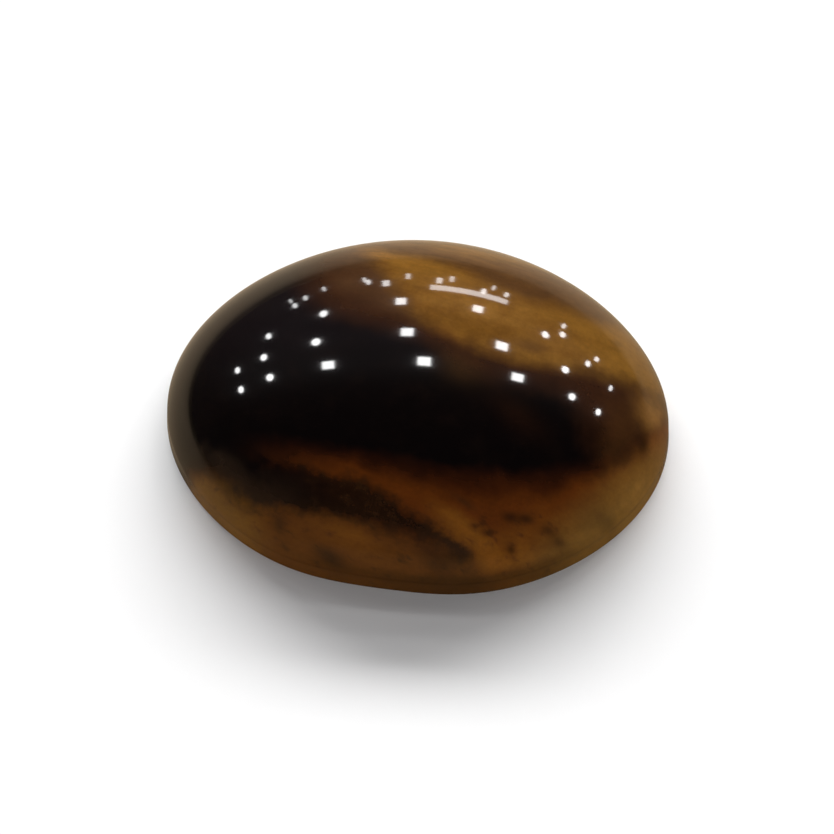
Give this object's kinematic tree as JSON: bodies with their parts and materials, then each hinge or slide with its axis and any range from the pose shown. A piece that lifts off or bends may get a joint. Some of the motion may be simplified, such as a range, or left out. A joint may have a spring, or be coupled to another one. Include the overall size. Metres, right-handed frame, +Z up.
{
  "type": "polished tigers eye cabochon",
  "caption": "Oval tiger's eye cabochon with a flat base, low side wall and polished dome, banded gold, orange and near-black; rests flat or sets in a bezel.",
  "frame": {"origin": "middle of the flat base", "axes": "+X along the length of the oval, +Y across its width towards the rounder long side, +Z up from the base to the crown of the dome"},
  "size_m": [0.025, 0.0182, 0.0072],
  "materials": {
    "tigers_eye": "polished"
  },
  "bodies": {
    "root": {"stone": "tigers_eye"}
  },
  "joints": []
}
